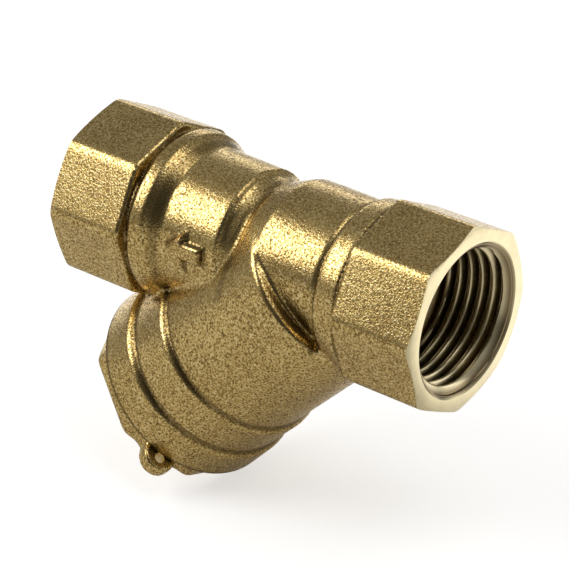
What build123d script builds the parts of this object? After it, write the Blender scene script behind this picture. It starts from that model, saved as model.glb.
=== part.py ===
"""Magnetic Y strainer, DN15 with G 1/2 threaded ends, closed as it stands in a pipe.

Millimetres. The centre of the inlet end face is the origin. The run lies along X and the body
reaches away to -X, +Z is up, and the branch leans down towards the outlet in the XZ plane.
Places on the run are given by s, the distance from the inlet face, and places on the branch
by t, the distance along the branch axis from the run axis.
"""

from build123d import *
import math
import os

# Run
LENGTH = 62.5                 # inlet face to outlet face
OCT_AF = 25.0                 # across flats of the spanner ends
OCT_LEN = 12.2                # length of each spanner end
OCT_EDGE_R = 0.9              # forged rounding of the long octagon edges
FACE_STEP = 0.15              # from the flats to the edge of the turned face
FACE_CHAMFER = 0.45           # how far the turned chamfer reaches back at the corners
THREAD_R = 10.48              # major radius of the G 1/2 thread
THREAD_LEN = 11.0
COUNTERSINK_WIDTH = 0.4
COUNTERSINK_DEPTH = 0.35
WATERWAY_R = 8.0

# Screen, from the cage inwards
CAGE_R = 8.4
CAGE_WALL = 0.5
MESH_GAP = 0.03
MESH_WALL = 0.2
RING_GAP = 0.02
RING_WALL = 0.3
RING_LIP = 1.6                # length of the lip inside the mesh
TOP_RING_LEN = 2.0
FOOT_RING_LEN = 1.5
HOLE_R = 1.2
HOLE_ROWS = 8
HOLES_PER_ROW = 14

# Branch, from the screen outwards
BRANCH_DEG = 45.0             # below the run axis
BRANCH_X = -20.9              # where the branch axis crosses the run axis
BRANCH_START = 2.4            # shoulder where the branch grows out of the barrel
BRANCH_PAST = 10.4            # mouth past the width of the spanner ends, so the cap clears them
BRANCH_WALL = 2.75            # from the chamber to the outside
BAND_1_LEN = 13.1             # first raised band, from the mouth
BAND_1_STEP = 0.65
BAND_2_LEN = 5.95             # mouth band
BAND_2_STEP = 1.45
PARTITION_TOP = 0.5           # inlet side of the wall that carries the screen seat
PARTITION_WALL = 4.0
SEAT_DEPTH = 1.5              # from the inlet side to the step the screen stands against
SEAT_LEDGE = 1.02             # width of that step
SEAT_ROOM = 0.22              # between cage and seat bore
CUP_ROOM = 1.5                # between cage and the cup of the cap
SKIRT_WALL = 2.05             # wall of the threaded skirt, thread included
MOUTH_STEP = 1.4              # from the chamber to the thread
GASKET_WIDTH = 1.0
GASKET_SEAT_DEPTH = 1.0
FIT = 0.05                    # radial clearance of running fits

# Cap
JOINT_GAP = 0.1               # between the mouth and the flange
CAP_FLANGE = 2.7
CAP_OVERHANG = 0.65           # from the gasket seat to the flats of the flange
CAP_CORNER_DEG = 171.0        # where one flange corner stands, from +Y towards the inlet side
SKIRT_LEN = 9.6
THREAD_RUNOUT = 0.6           # thread in the mouth past the end of the skirt
CUP_FLOOR = 3.2               # how far the floor of the cup lies inside the flange
BOSS_R = 4.2
BOSS_LEN = 1.8
STEM_SCREWED = 3.0            # length of stem in the cap
SOCKET_AF = 12.0
SOCKET_DEPTH = 3.0
LUG_REACH = 3.65              # how far the seal wire lug stands out from the flats
LUG_WIDTH = 5.0
LUG_HOLE_R = 0.8
LUG_HOLE_IN = 1.9             # centre of the hole from the tip of the lug

# Magnet rod
STEM_R = 2.0
STEM_TIP = 1.0                # stem past the nut
MAGNET_R = 5.0
MAGNET_LEN = 3.8
MAGNET_COUNT = 4
PLATE_R = 5.3
PLATE_LEN = 0.8
SPACER_R = 3.4
SPACER_LEN = 2.4
WASHER_R = 4.4
WASHER_LEN = 0.8
NUT_AF = 7.0
NUT_LEN = 3.2
STEM_FIT = 0.03

# What follows from them
BRANCH_END = OCT_AF + BRANCH_PAST
OCT_CORNER_R = OCT_AF / 2 / math.cos(math.pi / 8)
FACE_R = OCT_AF / 2 - FACE_STEP
COUNTERSINK_R = THREAD_R + COUNTERSINK_WIDTH
MESH_R = CAGE_R - CAGE_WALL - MESH_GAP
RING_LIP_R = MESH_R - MESH_WALL - RING_GAP
RING_BORE_R = RING_LIP_R - RING_WALL
SEAT_BORE_R = CAGE_R + SEAT_ROOM
SEAT_HOLE_R = SEAT_BORE_R - SEAT_LEDGE
CUP_R = CAGE_R + CUP_ROOM
MOUTH_R = CUP_R + SKIRT_WALL + FIT
CHAMBER_R = MOUTH_R - MOUTH_STEP
GASKET_SEAT_R = MOUTH_R + GASKET_WIDTH
BRANCH_R = CHAMBER_R + BRANCH_WALL
CAP_AF = 2 * (GASKET_SEAT_R + CAP_OVERHANG)
LUG_R = CAP_AF / 2 + LUG_REACH
SEAT_T = PARTITION_TOP + SEAT_DEPTH
PARTITION_FOOT = PARTITION_TOP + PARTITION_WALL
GASKET_SEAT_T = BRANCH_END - GASKET_SEAT_DEPTH
CAP_FACE_T = BRANCH_END + JOINT_GAP
CAP_END_T = CAP_FACE_T + CAP_FLANGE
CAP_SKIRT_T = CAP_FACE_T - SKIRT_LEN
MOUTH_THREAD_START = CAP_SKIRT_T - THREAD_RUNOUT
CUP_FLOOR_T = CAP_FACE_T - CUP_FLOOR
BOSS_T = CUP_FLOOR_T - BOSS_LEN
STEM_TAPPED_T = BOSS_T + STEM_SCREWED

COS = math.cos(math.radians(BRANCH_DEG))
SIN = math.sin(math.radians(BRANCH_DEG))
RUN = Plane(origin=(0, 0, 0), x_dir=(0, 1, 0), z_dir=(-1, 0, 0))
RUN_FAR = Plane(origin=(-LENGTH, 0, 0), x_dir=(0, 1, 0), z_dir=(1, 0, 0))
BRANCH = Plane(origin=(BRANCH_X, 0, 0), x_dir=(0, 1, 0), z_dir=(-COS, 0, -SIN))


def turned(points, place=BRANCH, rounds=None):
    """Solid of revolution about the local Z of a plane, from (radius, height) points.

    rounds maps a radius of rounding to the list of points whose corner takes it.
    """
    outline = Polyline(*[(r, 0, h) for r, h in points], close=True)
    face = make_face(outline).faces()[0]
    for radius, corners in (rounds or {}).items():
        chosen = []
        for r, h in corners:
            corner = Vector(r, 0, h)
            chosen.append(min(face.vertices(), key=lambda v: (Vector(*v) - corner).length))
        face = face.fillet_2d(radius, chosen)
    return place * revolve(face, Axis.Z)


def tube(outer, inner, start, end, place=BRANCH):
    """Plain ring between two heights."""
    return turned([(inner, start), (outer, start), (outer, end), (inner, end)], place)


def rod(radius, start, end, place=BRANCH):
    """Plain cylinder between two heights."""
    return turned([(0, start), (radius, start), (radius, end), (0, end)], place)


def prism(sides, flats, start, end, place=BRANCH, corner_deg=0.0, edge_r=0.0):
    """Regular prism between two heights, one corner standing at corner_deg from local X."""
    outline = RegularPolygon(flats / 2, sides, major_radius=False, rotation=corner_deg)
    face = outline.faces()[0]
    if edge_r:
        face = face.fillet_2d(edge_r, face.vertices())
    return place * Pos(0, 0, start) * extrude(face, end - start)


def spanner_end(place):
    """Octagon with its corners in the plane of the branch, chamfered on the lathe at the face."""
    octagon = prism(8, OCT_AF, 0, OCT_LEN, place, 0.0, OCT_EDGE_R)
    envelope = turned(
        [(0, 0), (FACE_R, 0), (OCT_CORNER_R, FACE_CHAMFER), (OCT_CORNER_R + 0.4, FACE_CHAMFER + 0.6),
         (OCT_CORNER_R + 0.4, OCT_LEN - 1.1), (OCT_CORNER_R - 0.8, OCT_LEN), (0, OCT_LEN)], place)
    return octagon & envelope


def run_form():
    """Forged outside of the run between the spanner ends, seen in photo order from the inlet."""
    end = LENGTH - OCT_LEN
    wide = OCT_AF / 2
    waist = BRANCH_X * -1 + 7.3
    points = [
        (0, OCT_LEN - 2), (wide - 1.0, OCT_LEN - 2), (wide - 1.0, OCT_LEN + 0.6),
        (wide - 0.35, OCT_LEN + 1.1), (wide - 0.65, OCT_LEN + 4.3),
        (wide - 1.85, OCT_LEN + 4.9), (wide - 1.85, OCT_LEN + 5.7), (wide - 1.5, OCT_LEN + 6.7),
        (wide - 1.35, waist - 3.7), (wide - 1.35, waist),
        (wide - 2.4, waist + 4.3), (wide - 2.75, waist + 4.8), (wide - 2.75, waist + 6.2),
        (wide - 2.0, waist + 6.7),
        (wide - 1.7, end - 6.9), (wide - 1.05, end - 6.3), (wide - 0.85, end - 5.1),
        (wide - 1.4, end - 4.6), (wide - 1.4, end - 4.1), (wide - 0.2, end - 3.7),
        (wide, end - 1.4), (wide - 0.7, end - 0.8), (wide - 0.7, end + 2), (0, end + 2),
    ]
    rounds = {
        0.35: [points[3], points[4], points[13], points[15], points[16],
               points[19], points[20]],
        0.2: [points[2], points[11], points[12], points[21]],
        1.2: [points[9]],
        0.6: [points[10], points[14]],
    }
    return turned(points, RUN, rounds)


def branch_form():
    """Forged outside of the branch, widening in two steps to its mouth."""
    t1 = BRANCH_END - BAND_1_LEN
    t2 = BRANCH_END - BAND_2_LEN
    r1 = BRANCH_R + BAND_1_STEP
    r2 = BRANCH_R + BAND_2_STEP
    points = [
        (0, BRANCH_START), (BRANCH_R, BRANCH_START), (BRANCH_R, t1), (r1, t1 + 0.7), (r1, t2),
        (r2 - 0.1, t2 + 0.7), (r2 + 0.1, BRANCH_END), (0, BRANCH_END),
    ]
    rounds = {1.1: [points[1]], 0.35: [points[2], points[3]],
              0.3: [points[6]]}
    return turned(points, BRANCH, rounds)


def port_cut(place):
    """Threaded end: countersink, thread at its major radius and the cone to the waterway."""
    return turned([(0, -1), (COUNTERSINK_R + 1, -1), (COUNTERSINK_R, 0),
                   (THREAD_R, COUNTERSINK_DEPTH),
                   (THREAD_R, THREAD_LEN), (WATERWAY_R, THREAD_LEN + 1.5),
                   (WATERWAY_R, THREAD_LEN + 2), (0, THREAD_LEN + 2)], place)


def valve_body():
    """The forged body with the two waterways, the screen seat between them and the chamber."""
    outside = spanner_end(RUN) + spanner_end(RUN_FAR) + run_form() + branch_form()
    big = 4 * LENGTH
    inlet_side = BRANCH * Pos(0, 0, PARTITION_TOP - big / 2) * Box(big, big, big)
    outlet_side = BRANCH * Pos(0, 0, PARTITION_FOOT + big / 2) * Box(big, big, big)
    waterway = rod(WATERWAY_R, OCT_LEN, LENGTH - OCT_LEN, RUN)
    cuts = [
        port_cut(RUN),
        port_cut(RUN_FAR),
        waterway & inlet_side,
        waterway & outlet_side,
        turned([(0, PARTITION_TOP - 1), (SEAT_HOLE_R, PARTITION_TOP - 1), (SEAT_HOLE_R, SEAT_T),
                (SEAT_BORE_R, SEAT_T), (SEAT_BORE_R, PARTITION_FOOT),
                (CHAMBER_R, PARTITION_FOOT), (CHAMBER_R, MOUTH_THREAD_START - MOUTH_STEP),
                (MOUTH_R, MOUTH_THREAD_START), (MOUTH_R, GASKET_SEAT_T),
                (GASKET_SEAT_R, GASKET_SEAT_T), (GASKET_SEAT_R, BRANCH_END + 1),
                (0, BRANCH_END + 1)]),
    ]
    body = outside
    for cut in cuts:
        body = body - cut
    return body


def cap():
    """Octagonal screw cap: skirt with the thread, cup for the screen foot, seal wire lug."""
    skirt_r = MOUTH_R - FIT
    core = turned(
        [(0, CAP_SKIRT_T), (skirt_r - 0.8, CAP_SKIRT_T), (skirt_r, CAP_SKIRT_T + 0.8),
         (skirt_r, CAP_FACE_T + 0.1), (0, CAP_FACE_T + 0.1)])
    corner_r = CAP_AF / 2 / math.cos(math.pi / 8)
    rim = prism(8, CAP_AF, CAP_FACE_T, CAP_END_T, BRANCH, CAP_CORNER_DEG, 0.6)
    rim = rim & turned(
        [(0, CAP_FACE_T), (corner_r - 0.4, CAP_FACE_T), (corner_r + 0.2, CAP_FACE_T + 0.5),
         (corner_r + 0.2, CAP_END_T - 0.9), (corner_r - 0.9, CAP_END_T), (0, CAP_END_T)])
    lug_deg = CAP_CORNER_DEG - 22.5
    lug_end = LUG_R - LUG_WIDTH / 2
    lug_from = CAP_FACE_T + 0.2
    lug_to = CAP_END_T - 0.3
    turn = BRANCH * Rot(0, 0, lug_deg)
    lug = turn * Pos(lug_end / 2 + 4, 0, (lug_from + lug_to) / 2) * Box(
        lug_end - 8, LUG_WIDTH, lug_to - lug_from)
    lug = lug + turn * Pos(lug_end, 0, (lug_from + lug_to) / 2) * Cylinder(
        LUG_WIDTH / 2, lug_to - lug_from)
    solid = core + rim + lug
    solid = solid - turn * Pos(LUG_R - LUG_HOLE_IN, 0, CAP_END_T - 2) * Cylinder(LUG_HOLE_R, 12)
    solid = solid - turned(
        [(BOSS_R, BOSS_T), (BOSS_R, CUP_FLOOR_T), (CUP_R, CUP_FLOOR_T), (CUP_R, CAP_SKIRT_T - 1),
         (0, CAP_SKIRT_T - 1), (0, BOSS_T)])
    solid = solid - rod(STEM_R + STEM_FIT, BOSS_T - 1, STEM_TAPPED_T)
    return solid - prism(6, SOCKET_AF, CAP_END_T - SOCKET_DEPTH, CAP_END_T + 1, BRANCH,
                         CAP_CORNER_DEG)


def screen_parts():
    """Perforated cage with its fine mesh lining, and the rings that close its two ends."""
    top = SEAT_T + TOP_RING_LEN
    foot = CUP_FLOOR_T - FOOT_RING_LEN
    cage = tube(CAGE_R, CAGE_R - CAGE_WALL, top, foot)
    first = PARTITION_FOOT + HOLE_R + 1.0
    pitch = (CAP_SKIRT_T - 1.0 - HOLE_R - first) / (HOLE_ROWS - 1)
    drills = []
    for row in range(HOLE_ROWS):
        for k in range(HOLES_PER_ROW):
            deg = (k + 0.5 * (row % 2)) * 360 / HOLES_PER_ROW
            drills.append(BRANCH * Rot(0, 0, deg) * Pos(CAGE_R, 0, first + row * pitch)
                          * Rot(0, 90, 0) * Cylinder(HOLE_R, 4))
    cage = cage - drills
    ring_r = SEAT_BORE_R - FIT
    top_ring = turned(
        [(RING_BORE_R, SEAT_T), (ring_r - 0.3, SEAT_T), (ring_r, SEAT_T + 0.3), (ring_r, top),
         (RING_LIP_R, top), (RING_LIP_R, top + RING_LIP), (RING_BORE_R, top + RING_LIP)])
    foot_r = CUP_R - FIT
    foot_ring = turned(
        [(RING_BORE_R, foot - RING_LIP), (RING_LIP_R, foot - RING_LIP), (RING_LIP_R, foot),
         (foot_r, foot), (foot_r, CUP_FLOOR_T), (RING_BORE_R, CUP_FLOOR_T)])
    return {
        "screen_cage": cage,
        "screen_mesh": tube(MESH_R, MESH_R - MESH_WALL, top, foot),
        "screen_top_ring": top_ring,
        "screen_foot_ring": foot_ring,
    }


def magnet_parts():
    """The rod of ring magnets: stem, spacer, magnets between pole plates, washer and nut."""
    bore = STEM_R + STEM_FIT
    parts = {}
    at = BOSS_T
    parts["stem_spacer"] = tube(SPACER_R, bore, at - SPACER_LEN, at)
    at = at - SPACER_LEN
    for k in range(MAGNET_COUNT + 1):
        parts[f"pole_plate_{k + 1}"] = turned(
            [(bore, at - PLATE_LEN), (PLATE_R, at - PLATE_LEN), (PLATE_R, at), (bore, at)])
        at = at - PLATE_LEN
        if k < MAGNET_COUNT:
            parts[f"magnet_{k + 1}"] = turned(
                [(bore, at - MAGNET_LEN), (MAGNET_R - 0.3, at - MAGNET_LEN),
                 (MAGNET_R, at - MAGNET_LEN + 0.3), (MAGNET_R, at - 0.3), (MAGNET_R - 0.3, at),
                 (bore, at)])
            at = at - MAGNET_LEN
    parts["lock_washer"] = tube(WASHER_R, bore, at - WASHER_LEN, at)
    at = at - WASHER_LEN
    corner = NUT_AF / 2 / math.cos(math.pi / 6)
    nut = prism(6, NUT_AF, at - NUT_LEN, at)
    nut = nut & turned([(0, at - NUT_LEN), (corner - 0.5, at - NUT_LEN), (corner, at - NUT_LEN + 0.3),
                        (corner, at), (0, at)])
    parts["end_nut"] = nut - rod(bore, at - NUT_LEN - 1, at + 1)
    tip = at - NUT_LEN - STEM_TIP
    parts["magnet_stem"] = turned(
        [(0, tip), (STEM_R - 0.4, tip), (STEM_R, tip + 0.4),
         (STEM_R, STEM_TAPPED_T - 0.2), (0, STEM_TAPPED_T - 0.2)])
    return parts


nodes = {
    "valve_body": valve_body(),
    "cap": cap(),
    "cap_gasket": tube(GASKET_SEAT_R - 0.08, MOUTH_R + 0.03, GASKET_SEAT_T, CAP_FACE_T),
}
nodes.update(screen_parts())
nodes.update(magnet_parts())

os.makedirs("parts", exist_ok=True)
for name, shape in nodes.items():
    export_step(shape, f"parts/{name}.step")
    print(name, len(shape.solids()), round(shape.volume, 2))
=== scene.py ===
import math

import bpy
from mathutils import Matrix, Vector


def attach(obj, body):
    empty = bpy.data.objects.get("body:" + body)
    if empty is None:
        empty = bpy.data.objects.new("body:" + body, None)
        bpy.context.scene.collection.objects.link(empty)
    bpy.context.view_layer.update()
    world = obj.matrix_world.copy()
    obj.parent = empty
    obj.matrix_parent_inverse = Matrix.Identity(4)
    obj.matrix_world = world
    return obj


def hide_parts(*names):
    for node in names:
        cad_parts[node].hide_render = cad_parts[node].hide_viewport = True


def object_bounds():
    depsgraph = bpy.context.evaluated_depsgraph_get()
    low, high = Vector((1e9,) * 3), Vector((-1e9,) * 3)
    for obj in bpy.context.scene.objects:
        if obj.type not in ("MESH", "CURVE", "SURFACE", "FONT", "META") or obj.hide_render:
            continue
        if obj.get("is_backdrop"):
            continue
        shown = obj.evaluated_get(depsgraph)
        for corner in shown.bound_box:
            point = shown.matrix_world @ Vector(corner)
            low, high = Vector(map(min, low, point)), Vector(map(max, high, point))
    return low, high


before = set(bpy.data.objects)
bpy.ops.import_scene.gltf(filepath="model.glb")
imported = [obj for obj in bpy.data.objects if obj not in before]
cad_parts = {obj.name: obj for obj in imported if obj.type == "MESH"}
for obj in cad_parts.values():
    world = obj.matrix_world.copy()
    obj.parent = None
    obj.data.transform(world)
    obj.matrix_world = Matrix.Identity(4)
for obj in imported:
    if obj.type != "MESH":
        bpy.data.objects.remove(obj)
MM = 0.001

# Where the CAD stands, in millimetres. s runs back from the inlet face, t down the branch.
LENGTH = 62.5
OCT_AF = 25.0
OCT_LEN = 12.2
BRANCH_X = -20.9
BRANCH_END = 35.4
DIAG = math.sqrt(0.5)
WATERWAY_R = 8.0
PORT_R = 10.48                # root of the pipe thread
PORT_DEPTH = 11.0
FACE_R = 12.35                # outer radius of the flat end face
ARROW_R = 10.8                # the run where the arrow stands
NIB = (-17.6, -9.2, -6.8)     # centre of the casting nib by the branch
NIB_R = 0.75
SEAT_HOLE_R = 7.6             # hole through the partition
SEAT_R = 8.62                 # counterbore that the screen stands in
SEAT_START = 2.0
SEAT_END = 4.5
CHAMBER_R = 10.6
CHAMBER_END = 23.9
CAP_PITCH = 1.5
MOUTH_R = 12.0                # bore of the branch behind the cap thread
MOUTH_THREAD = 25.3           # where that bore starts
GASKET_SEAT_R = 13.0
GASKET_SEAT = 34.4
FLANGE_AF = 27.3
FLANGE_MID = 36.65
FLANGE_FACE = 35.52           # a hair short of the sealing ring
SOCKET_AF = 12.0
SOCKET_FLOOR = 35.2
SKIRT_END = 25.9
SKIRT_R = 11.05
SPIGOT_R = 11.95              # the cap inside the sealing ring
CUP_R = 9.9                   # inside the skirt, round the foot of the screen
CUP_FLOOR = 32.3
STEM_HOLE_R = 2.03
STEM_BOSS_R = 4.2
CAP_CORNER = math.radians(171.0)
LUG_TURN = math.radians(148.5)
LUG_ROOT = 9.0                # start of the lug's middle line, out from the branch axis
LUG_REACH = 5.8               # and its length
LUG_MID = 36.8
LUG_HALF = 1.1
LUG_HOLE_OUT = 15.4           # centre of the seal wire hole from the branch axis
OUTSIDE = 19.0                # radius past every part, for cutters
SHARP = 35.0                  # degrees between faces that are shaded as an edge
SKIN = 10.0                   # density at the skin of a forging, as none may be negative
V_HEIGHT = 0.96               # a thread's ridge before its crest and root are rounded, in pitches
MIDDLE = (-30, 0, -8)         # where the lamps aim

# Colours of the forged brass, from the painted shade in the pits to the painted highlights on the peaks of
# its grain, of painted shade for crevices, and of the darker tone at a thread's root
PIT_SHADE = (0.15, 0.095, 0.035)
BRASS_DULL = (0.66, 0.45, 0.155)
BRASS_WARM = (0.78, 0.55, 0.195)
PEAK_HIGHLIGHT = (0.96, 0.78, 0.40)
PAINTED_SHADE = (0.11, 0.07, 0.025)
THREAD_ROOT_DARK = (0.16, 0.10, 0.04)

# Axes of the two ports and of the branch: z runs into each port and down the branch.
RUN = Matrix(((0, 0, -1, 0), (1, 0, 0, 0), (0, -1, 0, 0), (0, 0, 0, 1)))
FAR = Matrix(((0, 0, 1, -LENGTH), (1, 0, 0, 0), (0, 1, 0, 0), (0, 0, 0, 1)))
BRANCH = Matrix(((0, DIAG, -DIAG, BRANCH_X), (1, 0, 0, 0), (0, -DIAG, -DIAG, 0), (0, 0, 0, 1)))

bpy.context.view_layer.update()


class Val:
    """A node output that works like a number: every sum it takes part in is a Math node."""

    def __init__(self, tree, out):
        self.tree = tree
        self.out = out

    def op(self, name, *others):
        made = node(self.tree, "ShaderNodeMath", dict(enumerate((self,) + others)), operation=name)
        return Val(self.tree, made.outputs[0])

    def __add__(self, other):
        return self.op("ADD", other)

    __radd__ = __add__

    def __mul__(self, other):
        return self.op("MULTIPLY", other)

    __rmul__ = __mul__

    def __sub__(self, other):
        return self.op("SUBTRACT", other)

    def __rsub__(self, other):
        return self * -1.0 + other

    def __truediv__(self, other):
        return self.op("DIVIDE", other)

    def __rtruediv__(self, other):
        return self.op("POWER", -1.0) * other

    def __abs__(self):
        return self.op("ABSOLUTE")

    def join(self, other, blend):
        """Union of two forms, blended."""
        return self.op("SMOOTH_MIN", other, blend)

    def meet(self, other, blend):
        """What two forms share, with the edge between them rounded."""
        return self.op("SMOOTH_MAX", other, blend)

    def ramp(self, low, high, a=0.0, b=1.0, kind="SMOOTHSTEP"):
        """a up to low, b from high on."""
        made = node(self.tree, "ShaderNodeMapRange", dict(enumerate((self, low, high, a, b))),
                    interpolation_type=kind)
        return Val(self.tree, made.outputs[0])


def plug(tree, socket, value):
    """Links a value to a socket, or sets it there if it is a plain number."""
    if isinstance(value, Val):
        tree.links.new(value.out, socket)
    elif value is not None:
        socket.default_value = value


def node(tree, kind, inputs=None, **settings):
    """Adds any node, sets it up and returns it."""
    made = tree.nodes.new(kind)
    for key, value in settings.items():
        setattr(made, key, value)
    for key, value in (inputs or {}).items():
        plug(tree, made.inputs[key], value)
    return made


def length(a, b):
    return (a * a + b * b).op("SQRT")


def steps(along, start, table):
    """A radius that changes along an axis: rows of from, to, new radius, kind of ramp."""
    total = None
    last = start
    for low, high, radius, kind in table:
        part = along.ramp(low, high, 0.0, radius - last, kind)
        total = part + start if total is None else total + part
        last = radius
    return total


def mesh_object(name, verts, faces, place=Matrix(), materials=()):
    """A plain mesh in metres from points in millimetres, with its place in its vertices."""
    mesh = bpy.data.meshes.new(name)
    mesh.from_pydata([(place @ Vector(v)) * MM for v in verts], [], faces)
    mesh.validate()
    made = bpy.data.objects.new(name, mesh)
    bpy.context.scene.collection.objects.link(made)
    for material in materials:
        mesh.materials.append(material)
    return made


def lathe(name, points, place=BRANCH, turns=160, materials=()):
    """A closed turned solid from (radius, height) points taken once round its section."""
    verts = []
    faces = []
    rings = []
    for r, h in points:
        if r < 1e-9:
            rings.append([len(verts)])
            verts.append((0, 0, h))
        else:
            rings.append(list(range(len(verts), len(verts) + turns)))
            for k in range(turns):
                a = 2 * math.pi * k / turns
                verts.append((r * math.cos(a), r * math.sin(a), h))
    closed = rings + [rings[0]]
    for a, b in zip(closed, closed[1:]):
        if len(a) == 1 and len(b) == 1:
            continue
        for k in range(turns):
            quad = [a[k % len(a)], a[(k + 1) % len(a)], b[(k + 1) % len(b)], b[k % len(b)]]
            face = []
            for v in quad:
                if v not in face:
                    face.append(v)
            faces.append(face)
    made = mesh_object(name, verts, faces, place, materials)
    face_out(made)
    return made


def face_out(made):
    """Turns a closed mesh right side out."""
    mesh = made.data
    volume = 0.0
    for p in mesh.polygons:
        v = [mesh.vertices[k].co for k in p.vertices]
        for k in range(1, len(v) - 1):
            volume += v[0].dot(v[k].cross(v[k + 1]))
    if volume < 0:
        mesh.flip_normals()


def bake(made, crease=SHARP):
    """Replaces the modifiers of an object by the plain mesh they give."""
    graph = bpy.context.evaluated_depsgraph_get()
    mesh = bpy.data.meshes.new_from_object(made.evaluated_get(graph))
    made.modifiers.clear()
    old = made.data
    made.data = mesh
    mesh.name = made.name
    bpy.data.meshes.remove(old)
    mesh.shade_smooth()
    mesh.set_sharp_from_angle(angle=math.radians(crease))
    return made


def grown(name, build, material, settings, place=Matrix(), crease=SHARP):
    """A piece by rule: a Geometry Nodes tree with named inputs, run once and kept as a mesh.

    build takes the tree and its named values and returns geometry in millimetres.
    """
    tree = bpy.data.node_groups.new(name + "_rule", "GeometryNodeTree")
    face = tree.interface
    face.new_socket("Geometry", in_out="OUTPUT", socket_type="NodeSocketGeometry")
    keys = {}
    for label, value in settings.items():
        socket = face.new_socket(label, in_out="INPUT", socket_type="NodeSocketFloat")
        keys[label] = (socket.identifier, float(value))
    paint = face.new_socket("Material", in_out="INPUT", socket_type="NodeSocketMaterial")
    given = node(tree, "NodeGroupInput")
    values = {label: Val(tree, given.outputs[label]) for label in keys}
    shape = build(tree, values)
    metres = node(tree, "GeometryNodeTransform", {"Geometry": shape, "Scale": (MM, MM, MM)})
    real = node(tree, "GeometryNodeRealizeInstances", {0: Val(tree, metres.outputs[0])})
    dressed = node(tree, "GeometryNodeSetMaterial", {"Geometry": Val(tree, real.outputs[0]),
                                                    "Material": Val(tree, given.outputs["Material"])})
    end = node(tree, "NodeGroupOutput")
    tree.links.new(dressed.outputs[0], end.inputs[0])
    made = mesh_object(name, [(0, 0, 0)], [], materials=[material])
    grow = made.modifiers.new("rule", "NODES")
    grow.node_group = tree
    for identifier, value in keys.values():
        grow[identifier] = value
    grow[paint.identifier] = material
    bake(made, crease)
    metre = place.copy()
    metre.translation = metre.translation * MM
    made.data.transform(metre)
    return made


def labels(settings):
    """Names of a tree's inputs from the names of keyword arguments."""
    return {key.replace("_", " ").capitalize(): value for key, value in settings.items()}


def position(tree):
    """x, y and z of the field as numbers."""
    at = node(tree, "GeometryNodeInputPosition")
    split = node(tree, "ShaderNodeSeparateXYZ", {0: Val(tree, at.outputs[0])})
    return [Val(tree, split.outputs[k]) for k in range(3)]


def moved(tree, geometry, x, y, z):
    """Geometry with its points set to new places."""
    at = node(tree, "ShaderNodeCombineXYZ", {0: x, 1: y, 2: z})
    made = node(tree, "GeometryNodeSetPosition", {"Geometry": geometry,
                                                 "Position": Val(tree, at.outputs[0])})
    return Val(tree, made.outputs[0])


def forging(name, form, box, cell, material, settings):
    """A main piece by rule: a grid filled with the form's distance, and its skin."""
    def build(tree, values):
        inside = SKIN - form(*position(tree), values)
        grid = node(tree, "GeometryNodeVolumeCube", {"Density": inside, "Min": box[0], "Max": box[1]})
        for k, letter in enumerate("XYZ"):
            plug(tree, grid.inputs["Resolution " + letter], (box[1][k] - box[0][k]) / values["Cell"])
        skin = node(tree, "GeometryNodeVolumeToMesh", {"Volume": Val(tree, grid.outputs[0]),
                                                      "Threshold": SKIN})
        return Val(tree, skin.outputs[0])

    return grown(name, build, material, dict(settings, Cell=cell))


def thread(name, place, material, outside=False, **settings):
    """One closed band with a right-hand thread on it, turned from a grid of angle and length.

    The band runs from Start to End, has its plain side at Backing and its ridges grow out of Root.
    Row 0 is on the plain side at Start, rows 1 to Rows + 1 are the worked side, and the last two
    rows lead back along the plain side.
    """
    def build(tree, v):
        sheet = node(tree, "GeometryNodeMeshGrid", {"Size X": 1.0, "Size Y": 1.0,
                                                   "Vertices X": v["Around"] + 1.0,
                                                   "Vertices Y": v["Rows"] + 4.0})
        x, y, _ = position(tree)
        angle = (x + 0.5) * (2 * math.pi)
        row = (y + 0.5) * (v["Rows"] + 3.0)
        along = row.ramp(1.0, v["Rows"] + 1.0, v["Start"], v["End"], "LINEAR")
        along = along + (row - (v["Rows"] + 2.5)).op("GREATER_THAN", 0.0) * (v["Start"] - v["End"])
        phase = (along / v["Pitch"] - angle * (0.5 / math.pi)).op("FRACT")
        peak = 1.0 - abs(phase * 2.0 - 1.0)
        rise = (peak - 1 / 6) * v["Pitch"] * V_HEIGHT
        rise = rise.join(v["Depth"], v["Rounding"]).meet(0.0, v["Rounding"])
        fade_in = (along - v["Start"]) * v["Entry slope"] + v["Entry"]
        rise = rise.op("MINIMUM", fade_in).op("MINIMUM", (v["End"] - along) * v["Runout slope"])
        worked = v["Root"] + rise.op("MAXIMUM", 0.0) * (1.0 if outside else -1.0)
        plain = (abs(row - (v["Rows"] + 2.0) / 2) - (v["Rows"] + 0.9) / 2).op("GREATER_THAN", 0.0)
        radius = worked + plain * (v["Backing"] - worked)
        tube = moved(tree, Val(tree, sheet.outputs[0]), angle.op("COSINE") * radius,
                     angle.op("SINE") * radius, along)
        closed = node(tree, "GeometryNodeMergeByDistance", {"Geometry": tube, "Distance": 0.0001})
        return Val(tree, closed.outputs[0])

    made = grown(name, build, material, labels(settings), place, 50.0)
    face_out(made)
    return made


def polygon(a, b, sides, flats, turn, rounding):
    """Distance to a regular prism, one corner at the angle turn."""
    total = None
    for k in range(sides // 2):
        angle = turn + math.pi * (2 * k + 1) / sides
        d = abs(a * math.cos(angle) + b * math.sin(angle))
        total = d if total is None else total.meet(d, rounding)
    return total - flats / 2


def branch_axes(x, y, z):
    """Across, down-and-forward and along the branch."""
    along = (x - BRANCH_X) * -DIAG + z * -DIAG
    across = (x - BRANCH_X) * DIAG - z * DIAG
    return y, across, along


def arrow_form(s, y, z):
    """Distance to the outline of the flow arrow on the front of the run, pointing to the outlet."""
    tail, barbs, neck, tip = 36.6, 39.7, 40.2, 42.6
    lift, half_width, blend = 0.5, 1.1, 0.2
    flank_along, flank_across = 0.669, 0.743
    across = abs(z.op("ARCTAN2", y * -1.0) * ARROW_R - lift)
    flanks = (s - tip) * flank_along + across * flank_across
    head = flanks.meet(barbs - s, blend)
    shaft = (across - half_width).meet(tail - s, blend).meet(s - neck, blend)
    return head.join(shaft, blend)


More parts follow.
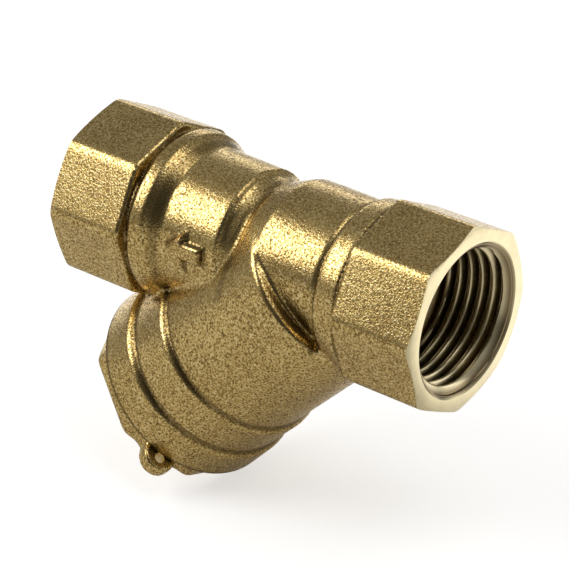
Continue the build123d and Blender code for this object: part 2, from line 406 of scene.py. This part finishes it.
def body_form(x, y, z, set_):
    """Forged outside of the valve body, before the lathe.

    The run's radius is a list of collars and grooves on the way from the inlet to the outlet.
    """
    s = x * -1.0
    radius = length(y, z)
    smooth, straight = "SMOOTHSTEP", "LINEAR"
    run_r = steps(s, 11.8, [
        (12.9, 13.4, 12.15, smooth), (13.4, 16.6, 11.85, straight), (16.5, 17.1, 10.8, smooth),
        (17.2, 17.8, 11.05, smooth), (17.8, 24.5, 11.2, straight), (27.7, 31.2, 9.85, straight),
        (31.2, 32.0, 9.2, smooth), (32.0, 34.4, 9.9, straight), (34.2, 34.8, 10.55, smooth),
        (34.8, 43.6, ARROW_R, straight), (44.0, 46.0, 11.8, straight), (46.0, 46.6, 12.3, smooth),
        (46.6, 48.5, 12.5, straight), (48.4, 49.2, 11.8, smooth)])
    run_r = run_r + arrow_form(s, y, z).ramp(-0.2, 0.2, set_["Arrow height"], 0.0)
    run = (radius - run_r).op("MAXIMUM", abs(s - LENGTH / 2) - (LENGTH / 2 - OCT_LEN + 1.0))
    octagon = polygon(y, z, 8, OCT_AF, 0.0, set_["Octagon edge"])
    ends = abs(abs(s - LENGTH / 2) - LENGTH / 2) - set_["Octagon length"]
    ends = octagon.meet(ends, set_["Octagon shoulder"])
    u, v, t = branch_axes(x, y, z)
    branch_r = steps(t, 13.35, [(22.1, 23.1, 14.0, smooth), (29.2, 30.3, 14.7, smooth),
                                (30.3, 35.4, 14.9, straight)])
    branch = (length(u, v) - branch_r).meet(set_["Branch start"] - t, set_["Branch shoulder"])
    branch = branch.op("MAXIMUM", t - (BRANCH_END + 0.6))
    nib = length(length(x - NIB[0], y - NIB[1]), z - NIB[2]) - NIB_R
    form = run.join(branch, set_["Branch blend"]).join(ends, set_["End blend"])
    return form.join(nib, set_["Nib blend"])


def cap_form(x, y, z, set_):
    """Octagonal flange of the cap with its seal wire lug."""
    u, v, t = branch_axes(x, y, z)
    rim = polygon(u, v, 8, FLANGE_AF, CAP_CORNER, set_["Corner"])
    rim = rim.meet(abs(t - FLANGE_MID) - set_["Half thickness"], set_["Edge"])
    out = u * math.cos(LUG_TURN) + v * math.sin(LUG_TURN)
    side = v * math.cos(LUG_TURN) - u * math.sin(LUG_TURN)
    reach = (out - LUG_ROOT).op("MAXIMUM", 0.0).op("MINIMUM", LUG_REACH)
    lug = length(out - LUG_ROOT - reach, side) - set_["Lug radius"]
    lug = lug.meet(abs(t - LUG_MID) - LUG_HALF, set_["Edge"])
    return rim.join(lug, set_["Lug blend"])


def cut(made, tools):
    """Machines a forging with closed tool solids and leaves the plain mesh."""
    for tool in tools:
        change = made.modifiers.new(tool.name, "BOOLEAN")
        change.operation = "DIFFERENCE"
        change.solver = "MANIFOLD"
        change.material_mode = "TRANSFER"
        change.object = tool
    bake(made)
    for tool in tools:
        mesh = tool.data
        bpy.data.objects.remove(tool)
        bpy.data.meshes.remove(mesh)
    return made


def oblique(name, start, plane_t, radius, material, turns=160):
    """Waterway cutter: a cylinder on the run from s=start to the plane t=plane_t."""
    verts = []
    for k in range(turns):
        a = 2 * math.pi * k / turns
        y, z = radius * math.cos(a), radius * math.sin(a)
        verts.append((-start, y, z))
        verts.append((BRANCH_X - z - plane_t / DIAG, y, z))
    faces = [[2 * k, (2 * k + 2) % (2 * turns), (2 * k + 3) % (2 * turns), 2 * k + 1]
             for k in range(turns)]
    faces.append([2 * k for k in reversed(range(turns))])
    faces.append([2 * k + 1 for k in range(turns)])
    made = mesh_object(name, verts, faces, materials=[material])
    face_out(made)
    return made


def woven(name, material, **settings):
    """The screen's lining: plain weave rolled into a tube, each wire over one and under the next."""
    def build(tree, v):
        def weave(wires, side):
            real = node(tree, "GeometryNodeRealizeInstances", {0: wires})
            x, y, z = position(tree)
            angle = y.op("ARCTAN2", x)
            crossing = angle * v["Around"] * (0.5 / math.pi) + (z - v["Start"]) / v["Pitch"]
            radius = v["Radius"] + (crossing * math.pi).op("COSINE") * v["Wave"] * side
            bent = moved(tree, Val(tree, real.outputs[0]), angle.op("COSINE") * radius,
                         angle.op("SINE") * radius, z)
            round_ = node(tree, "GeometryNodeCurvePrimitiveCircle", {"Resolution": 4,
                                                                    "Radius": v["Wire radius"]})
            wire = node(tree, "GeometryNodeCurveToMesh", {
                "Curve": bent, "Profile Curve": Val(tree, round_.outputs[0]), "Fill Caps": True})
            return wire.outputs[0]

        rise = node(tree, "ShaderNodeCombineXYZ", {2: v["Start"]})
        step = node(tree, "ShaderNodeCombineXYZ", {2: v["Pitch"]})
        stack = node(tree, "GeometryNodeMeshLine", {
            "Count": v["Hoops"], "Start Location": Val(tree, rise.outputs[0]),
            "Offset": Val(tree, step.outputs[0])})
        hoop = node(tree, "GeometryNodeCurvePrimitiveCircle", {"Resolution": v["Around"] * 2.0,
                                                              "Radius": v["Radius"]})
        hoops = node(tree, "GeometryNodeInstanceOnPoints", {"Points": Val(tree, stack.outputs[0]),
                                                           "Instance": Val(tree, hoop.outputs[0])})
        ring = node(tree, "GeometryNodeMeshCircle", {"Vertices": v["Around"], "Radius": v["Radius"]})
        rod = node(tree, "GeometryNodeMeshLine", {"Count": v["Hoops"] * 2.0 - 1.0,
                                                 "Start Location": Val(tree, rise.outputs[0])})
        half = node(tree, "ShaderNodeCombineXYZ", {2: v["Pitch"] * 0.5})
        plug(tree, rod.inputs["Offset"], Val(tree, half.outputs[0]))
        line = node(tree, "GeometryNodeMeshToCurve", {0: Val(tree, rod.outputs[0])})
        rods = node(tree, "GeometryNodeInstanceOnPoints", {"Points": Val(tree, ring.outputs[0]),
                                                          "Instance": Val(tree, line.outputs[0])})
        both = node(tree, "GeometryNodeJoinGeometry")
        tree.links.new(weave(Val(tree, hoops.outputs[0]), 1.0), both.inputs[0])
        tree.links.new(weave(Val(tree, rods.outputs[0]), -1.0), both.inputs[0])
        return Val(tree, both.outputs[0])

    return grown(name, build, material, labels(settings), BRANCH, 50.0)


class Paint:
    """A Principled material in object coordinates. Lengths are given in millimetres."""

    def __init__(self, name, **constants):
        self.made = bpy.data.materials.new(name)
        self.made.use_nodes = True
        self.tree = self.made.node_tree
        self.shader = self.tree.nodes["Principled BSDF"]
        for key, value in constants.items():
            self.shader.inputs[key.replace("_", " ")].default_value = value
        place = node(self.tree, "ShaderNodeTexCoord")
        self.at = Val(self.tree, place.outputs["Object"])
        split = node(self.tree, "ShaderNodeSeparateXYZ", {0: self.at})
        self.x, self.y, self.z = (Val(self.tree, split.outputs[k]) * 1000.0 for k in range(3))

    def noise(self, size, detail=2.0, rough=0.5, vector=None):
        """Even noise from 0 to 1, whose largest features are about size apart."""
        made = node(self.tree, "ShaderNodeTexNoise", {
            "Vector": vector or self.at, "Scale": 1.0 / size if vector else 1000.0 / size,
            "Detail": detail, "Roughness": rough})
        return Val(self.tree, made.outputs[0])

    def vector(self, a, b, c):
        made = node(self.tree, "ShaderNodeCombineXYZ", {0: a, 1: b, 2: c})
        return Val(self.tree, made.outputs[0])

    def mix(self, factor, a, b):
        made = node(self.tree, "ShaderNodeMix", data_type="RGBA")
        for key, value in (("Factor", factor), ("A", a), ("B", b)):
            kind = "VALUE" if key == "Factor" else "RGBA"
            socket = [k for k in made.inputs if k.name == key and k.type == kind][0]
            plug(self.tree, socket, (*value, 1.0) if isinstance(value, tuple) else value)
        return Val(self.tree, [k for k in made.outputs if k.type == "RGBA"][0])

    def coat(self, colour, rough, height=None, depth=0.02, **more):
        """Plugs the finish in. depth is how far a height of 1 stands out, in millimetres."""
        plug(self.tree, self.shader.inputs["Base Color"], colour)
        plug(self.tree, self.shader.inputs["Roughness"], rough)
        for key, value in more.items():
            plug(self.tree, self.shader.inputs[key], value)
        if height is not None:
            bump = node(self.tree, "ShaderNodeBump", {"Height": height, "Distance": depth * MM,
                                                      "Strength": 1.0})
            self.tree.links.new(bump.outputs[0], self.shader.inputs["Normal"])
        return self.made


def forged_paint(name, crevices=(), branch_crevices=()):
    """Sand-blasted forging: strong fine grain, dull in its pits, slightly mottled, with painted shade in
    the grain's pits and painted highlights on its peaks.

    Crevices get painted shade, standing in for the shade that falls in them, on the run and on the branch:
    the length along it, the half width and, on the run, how dark.
    """
    p = Paint(name, Metallic=1.0)
    grain = p.noise(0.28, 1.5, 0.5)
    coarse = p.noise(0.9, 2.0, 0.5)
    mottle = p.noise(7.0, 3.0, 0.55)
    # Painted shade darkens the grain's pits and painted highlights pale its peaks; the grain's random
    # pattern is its own.
    pits = grain.ramp(0.30, 0.56, 1.0, 0.0)
    peaks = grain.ramp(0.50, 0.70)
    base = p.mix(mottle.ramp(0.3, 0.7), BRASS_DULL, BRASS_WARM)
    colour = p.mix(pits * 0.85, p.mix(peaks, base, PEAK_HIGHLIGHT), PIT_SHADE)
    u, v, down = branch_axes(p.x, p.y, p.z)
    on_branch = length(u, v).ramp(15.4, 16.0, 1.0, 0.0)
    # Painted shade in a band at each crevice of the branch.
    for t, half in branch_crevices:
        line = abs(down - t).ramp(half * 0.3, half, 0.7, 0.0) * on_branch
        colour = p.mix(line, colour, PAINTED_SHADE)
    shade = None
    # Painted shade in the grooves and crevices of the run.
    for s, half, dark in crevices:
        line = abs(p.x + s).ramp(half * 0.4, half, dark, 0.0)
        shade = line if shade is None else shade.op("MAXIMUM", line)
    if shade is not None:
        s = p.x * -1.0
        # Painted shade round the foot of the flow arrow.
        outline = abs(arrow_form(s, p.y, p.z) - 0.2).ramp(0.15, 0.5, 0.65, 0.0)
        colour = p.mix(outline, colour, PAINTED_SHADE)
        # Painted shade: the barrel gets darker towards the shoulder of the branch.
        radius = length(p.y, p.z)
        crease = down.ramp(-6.5, -0.5, 0.0, 0.6) * radius.ramp(11.6, 12.2, 1.0, 0.0)
        crease = crease * s.ramp(26.0, 27.5, 1.0, 0.0) * s.ramp(13.5, 14.5)
        crease = crease * p.z.ramp(-3.5, 0.5, 1.0, 0.0)
        on_run = radius.ramp(12.8, 13.2, 1.0, 0.0)
        colour = p.mix((shade * on_run).op("MAXIMUM", crease), colour, PAINTED_SHADE)
    rough = mottle * 0.08 + pits * 0.2 + 0.19
    return p.coat(colour, rough, grain * 0.8 + coarse * 0.3, 0.045)


def turned_paint(name, radius, along, tint, roots=None):
    """Brass from the lathe: fine grooves around the axis and faint streaks along them.

    roots gives the radii between which a thread gets darker towards its root.
    """
    p = Paint(name, Metallic=1.0)
    r, a = radius(p), along(p)
    grooves = p.noise(1.0, 2.0, 0.6, p.vector(r * 9.0, a * 9.0, 0.0))
    marks = p.noise(1.0, 3.0, 0.6, p.vector(r * 1.5, a * 1.5, p.y * 0.2))
    stain = p.noise(4.0, 3.0, 0.6)
    colour = p.mix(stain.ramp(0.35, 0.7) * 0.5 + marks * 0.3, tint, tuple(k * 0.78 for k in tint))
    if roots:
        crest, root = roots
        root_dark = r.ramp(crest, root) * r.ramp(root + 0.2, root + 0.6, 1.0, 0.0)
        colour = p.mix(root_dark * 0.8, colour, THREAD_ROOT_DARK)
    rough = grooves * 0.16 + marks * 0.12 + 0.10
    return p.coat(colour, rough, grooves, 0.012)


def run_radius(p):
    return length(p.y, p.z)


def run_along(p):
    return p.x


def branch_radius(p):
    return length(p.y, (p.x - BRANCH_X) * DIAG - p.z * DIAG)


def branch_along(p):
    return (p.x - BRANCH_X + p.z) * DIAG


def rubber_paint():
    """Black rubber with a faint grey bloom."""
    p = Paint("gasket_rubber", Metallic=0.0)
    grain = p.noise(0.3, 3.0, 0.6)
    bloom = p.noise(3.0, 3.0, 0.6)
    colour = p.mix(bloom, (0.012, 0.012, 0.013), (0.035, 0.034, 0.033))
    return p.coat(colour, grain * 0.25 + 0.5, grain, 0.03)


def steel_paint(name, light, dark, rough):
    """Bright steel or plating with fine drawing marks and handling stains."""
    p = Paint(name, Metallic=1.0)
    marks = p.noise(1.0, 3.0, 0.6, p.vector(p.x * 6.0, p.y * 6.0, p.z * 6.0))
    stain = p.noise(2.5, 3.0, 0.6)
    colour = p.mix(stain.ramp(0.35, 0.75), light, dark)
    return p.coat(colour, marks * 0.2 + stain * 0.1 + rough, marks, 0.006)


# Painted shade in the grooves of the run, at the steps of the branch and where the cap meets it.
forged = forged_paint("forged_brass", [
    (13.1, 0.35, 0.7), (17.15, 0.35, 0.7), (32.4, 0.9, 0.4), (45.0, 0.9, 0.45), (49.45, 0.45, 0.8)],
    [(22.25, 0.6), (29.35, 0.65), (35.3, 0.5)])
# Painted shade on the cap's face where it meets the body.
cap_forged = forged_paint("forged_cap_brass", (), [(35.4, 0.45)])
run_turned = turned_paint("turned_brass", run_radius, run_along, (0.88, 0.76, 0.47), (9.5, 10.3))
waterway = turned_paint("waterway_brass", run_radius, run_along, (0.34, 0.23, 0.10))
branch_turned = turned_paint("turned_branch_brass", branch_radius, branch_along, (0.84, 0.68, 0.38))
rubber = rubber_paint()
stainless = steel_paint("stainless", (0.62, 0.61, 0.59), (0.50, 0.49, 0.47), 0.16)
mesh_wire = steel_paint("mesh_wire", (0.58, 0.57, 0.55), (0.42, 0.41, 0.39), 0.2)
pole_steel = steel_paint("pole_steel", (0.40, 0.40, 0.41), (0.28, 0.28, 0.29), 0.28)
nickel = steel_paint("magnet_nickel", (0.70, 0.68, 0.63), (0.60, 0.57, 0.51), 0.10)

body = forging("valve_body_forged", body_form, ((-64.0, -15.8, -38.5), (1.5, 15.8, 14.6)), 0.33, forged,
               {"Octagon edge": 1.0, "Octagon length": 12.8, "Octagon shoulder": 0.5,
                "Branch shoulder": 1.5, "Branch start": 1.7, "Branch blend": 0.9, "End blend": 0.3,
                "Nib blend": 0.6, "Arrow height": 0.85})
port = [(0, -1), (PORT_R + 1.4, -1), (PORT_R + 0.4, 0), (PORT_R, 0.35), (PORT_R, PORT_DEPTH),
        (WATERWAY_R, PORT_DEPTH + 1.5), (WATERWAY_R, PORT_DEPTH + 2.0), (0, PORT_DEPTH + 2.0)]
facing = [(0, 0), (0, -3), (OUTSIDE, -3), (OUTSIDE, 2.53), (FACE_R, 0)]
chamber = [(0, -0.5), (SEAT_HOLE_R, -0.5), (SEAT_HOLE_R, SEAT_START), (SEAT_R, SEAT_START),
           (SEAT_R, SEAT_END), (CHAMBER_R, SEAT_END), (CHAMBER_R, CHAMBER_END), (MOUTH_R, MOUTH_THREAD),
           (MOUTH_R, GASKET_SEAT), (GASKET_SEAT_R, GASKET_SEAT), (GASKET_SEAT_R, BRANCH_END),
           (OUTSIDE, BRANCH_END), (OUTSIDE, 39), (0, 39)]
cut(body, [
    lathe("inlet_port", port, RUN, materials=[run_turned]),
    lathe("outlet_port", port, FAR, materials=[run_turned]),
    lathe("inlet_facing", facing, RUN, materials=[run_turned]),
    lathe("outlet_facing", facing, FAR, materials=[run_turned]),
    oblique("inlet_way", PORT_DEPTH + 1.5, 0.5, WATERWAY_R, waterway),
    oblique("outlet_way", LENGTH - PORT_DEPTH - 1.5, SEAT_END, WATERWAY_R, waterway),
    lathe("chamber", chamber, materials=[branch_turned])])
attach(body, "housing")
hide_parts("valve_body")

pipe_thread = {"root": PORT_R, "depth": 1.162, "pitch": 1.814, "start": 0.32, "end": 11.2,
               "backing": 10.75, "rounding": 0.3, "entry": 0.04, "entry_slope": 1.14,
               "runout_slope": 0.8, "around": 144, "rows": 112}
for name, place in (("inlet_thread", RUN), ("outlet_thread", FAR)):
    made = thread(name, place, run_turned, **pipe_thread)
    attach(made, "housing")
mouth = thread("mouth_thread", BRANCH, branch_turned, root=MOUTH_R + 0.04, depth=0.8, pitch=CAP_PITCH,
               start=MOUTH_THREAD + 0.05, end=33.6, backing=MOUTH_R + 0.3, rounding=0.15, entry=0.0,
               entry_slope=1.0, runout_slope=1.0, around=144, rows=96)
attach(mouth, "housing")

rim = forging("cap_rim", cap_form, ((-64.5, -17.8, -39.5), (-33.5, 15.2, -12.5)), 0.26, cap_forged,
              {"Half thickness": 1.55, "Corner": 1.0, "Edge": 0.9, "Lug radius": 2.5, "Lug blend": 1.8})
hole = Vector((LUG_HOLE_OUT * math.cos(LUG_TURN), LUG_HOLE_OUT * math.sin(LUG_TURN), 0))
hole = Matrix.Translation(BRANCH @ hole)
hole = hole @ BRANCH.to_3x3().to_4x4()
corners = [CAP_CORNER + math.pi * k / 3 for k in range(6)]
socket = [(SOCKET_AF / math.sqrt(3) * math.cos(a), SOCKET_AF / math.sqrt(3) * math.sin(a)) for a in corners]
sides = [[k, (k + 1) % 6, (k + 1) % 6 + 6, k + 6] for k in range(6)]
hexagon = mesh_object("socket", [(a, b, h) for h in (34.0, 40.0) for a, b in socket],
                      sides + [[5, 4, 3, 2, 1, 0], [6, 7, 8, 9, 10, 11]], BRANCH, [branch_turned])
face_out(hexagon)
rim_face = [(0, 33), (OUTSIDE, 33), (OUTSIDE, FLANGE_FACE), (0, FLANGE_FACE)]
seal_hole = [(0, 30), (0.8, 30), (0.8, 40), (0, 40)]
cut(rim, [lathe("rim_face", rim_face, materials=[branch_turned]),
          lathe("seal_hole", seal_hole, hole, 32, [branch_turned]), hexagon])
skirt = lathe("cap_skirt", [
    (0, 33.5), (STEM_HOLE_R, 33.5), (STEM_HOLE_R, 30.5), (STEM_BOSS_R - 0.2, 30.5), (STEM_BOSS_R, 30.7),
    (STEM_BOSS_R, CUP_FLOOR), (CUP_R, CUP_FLOOR), (CUP_R, SKIRT_END + 0.2), (CUP_R + 0.2, SKIRT_END),
    (SKIRT_R - 0.3, SKIRT_END), (SKIRT_R, SKIRT_END + 0.3), (SKIRT_R, 33.3), (SPIGOT_R, 33.5),
    (SPIGOT_R, 35.7), (7.2, 35.7), (7.2, SOCKET_FLOOR), (0, SOCKET_FLOOR)], materials=[branch_turned])
skirt.data.set_sharp_from_angle(angle=math.radians(SHARP))
skirt_thread = thread("cap_thread", BRANCH, branch_turned, outside=True, root=SKIRT_R + 0.07,
                      depth=0.8, pitch=CAP_PITCH, start=26.1, end=33.4, backing=SKIRT_R - 0.1,
                      rounding=0.15, entry=0.0, entry_slope=1.2, runout_slope=1.2, around=144, rows=86)
for made in (rim, skirt, skirt_thread):
    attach(made, "cap")
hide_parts("cap")

lining = woven("screen_wire", mesh_wire, around=80, hoops=44, pitch=0.62, start=4.2, radius=7.77,
               wave=0.045, wire_radius=0.06)
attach(lining, "screen")
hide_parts("screen_mesh")

dress = {"cap_gasket": rubber, "screen_cage": stainless, "screen_top_ring": stainless,
         "screen_foot_ring": stainless, "magnet_stem": stainless, "stem_spacer": stainless,
         "lock_washer": stainless, "end_nut": stainless}
for k in range(1, 6):
    dress[f"pole_plate_{k}"] = pole_steel
for k in range(1, 5):
    dress[f"magnet_{k}"] = nickel
for name, material in dress.items():
    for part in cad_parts[name].material_slots:
        part.material = material

# The camera was fitted to the photograph: its focal length, what it looks at and from how far.
FOCAL_PIXELS = 2500
PICTURE_PIXELS = 570
TARGET = Vector((-30.29, 0, -4.97))
DISTANCE = 344.07
az, el, roll = math.radians(37.26), math.radians(24.94), math.radians(3.61)
back = Vector((math.sin(az) * math.cos(el), -math.cos(az) * math.cos(el), math.sin(el)))
right = (-back).cross(Vector((0, 0, 1))).normalized()
up = right.cross(-back)
x_axis = math.cos(roll) * right + math.sin(roll) * up
y_axis = -math.sin(roll) * right + math.cos(roll) * up
cam = bpy.data.objects.new("camera", bpy.data.cameras.new("camera"))
bpy.context.scene.collection.objects.link(cam)
spot = (TARGET + back * DISTANCE) * MM
cam.matrix_world = Matrix(((x_axis.x, y_axis.x, back.x, spot.x), (x_axis.y, y_axis.y, back.y, spot.y),
                           (x_axis.z, y_axis.z, back.z, spot.z), (0, 0, 0, 1)))
cam.data.lens = FOCAL_PIXELS / PICTURE_PIXELS * cam.data.sensor_width
cam.data.clip_start = 0.01
bpy.context.scene.camera = cam


def studio():
    """Floor and background: white to the camera, darker in reflections, darkest behind the camera."""
    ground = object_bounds()[0][2] / MM
    far = 900
    floor = mesh_object("floor", [(-far, -far, ground), (far, -far, ground), (far, far, ground),
                                  (-far, far, ground)], [[0, 1, 2, 3]])
    p = Paint("floor_white", Metallic=0.0, Specular_IOR_Level=0.0)
    seen = Val(p.tree, node(p.tree, "ShaderNodeLightPath").outputs["Is Camera Ray"])
    tone = p.noise(60.0, 2.0)
    colour = p.mix(seen, p.mix(tone, (0.62, 0.60, 0.57), (0.70, 0.68, 0.65)), (0.9, 0.9, 0.9))
    p.shader.inputs["Emission Strength"].default_value = 1.0
    behind = p.mix(p.y.ramp(5.0, 60.0), (0.12, 0.12, 0.11), (1.0, 1.0, 1.0))
    glow = p.mix(seen, behind, (0.6, 0.6, 0.6))
    p.coat(colour, tone * 0.05 + 0.9, **{"Emission Color": glow})
    floor.data.materials.append(p.made)
    floor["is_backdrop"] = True
    world = bpy.data.worlds.new("studio")
    bpy.context.scene.world = world
    world.use_nodes = True
    tree = world.node_tree
    seen = Val(tree, node(tree, "ShaderNodeLightPath").outputs["Is Camera Ray"])
    way = node(tree, "ShaderNodeTexCoord")
    split = node(tree, "ShaderNodeSeparateXYZ", {0: Val(tree, way.outputs["Generated"])})
    x, y, z = (Val(tree, split.outputs[k]) for k in range(3))
    dark_side = x * 0.40 - y * 0.86 + z * 0.31
    around, darkest = 0.25, 0.04
    light = dark_side.ramp(0.5, 0.85, around, darkest)
    plug(tree, tree.nodes["Background"].inputs[1], light + seen * (1.0 - light))
    tree.nodes["Background"].inputs[0].default_value = (1, 1, 1, 1)


def softbox(name, azimuth, elevation, away, size, radiance):
    """A rectangular lamp, seen from the middle of the object at that azimuth and elevation.

    Its distance and size are in millimetres. The radiance doesn't change with either.
    """
    a, e = math.radians(azimuth), math.radians(elevation)
    way = Vector((math.sin(a) * math.cos(e), -math.cos(a) * math.cos(e), math.sin(e)))
    lamp = bpy.data.lights.new(name, "AREA")
    lamp.shape = "RECTANGLE"
    lamp.size, lamp.size_y = size[0] * MM, size[1] * MM
    lamp.energy = radiance * math.pi * lamp.size * lamp.size_y
    made = bpy.data.objects.new(name, lamp)
    made.location = (Vector(MIDDLE) + way * away) * MM
    made.rotation_euler = (-way).to_track_quat("-Z", "Y").to_euler()
    bpy.context.scene.collection.objects.link(made)
    made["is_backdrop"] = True


studio()
softbox("key", -46, 34, 330, (195, 195), 3.3)
softbox("back", -142, 20, 420, (240, 110), 1.4)
softbox("end", 140, 14, 420, (240, 160), 1.0)
softbox("top", 85, 74, 320, (170, 230), 1.5)
bpy.context.scene.view_settings.view_transform = "Standard"
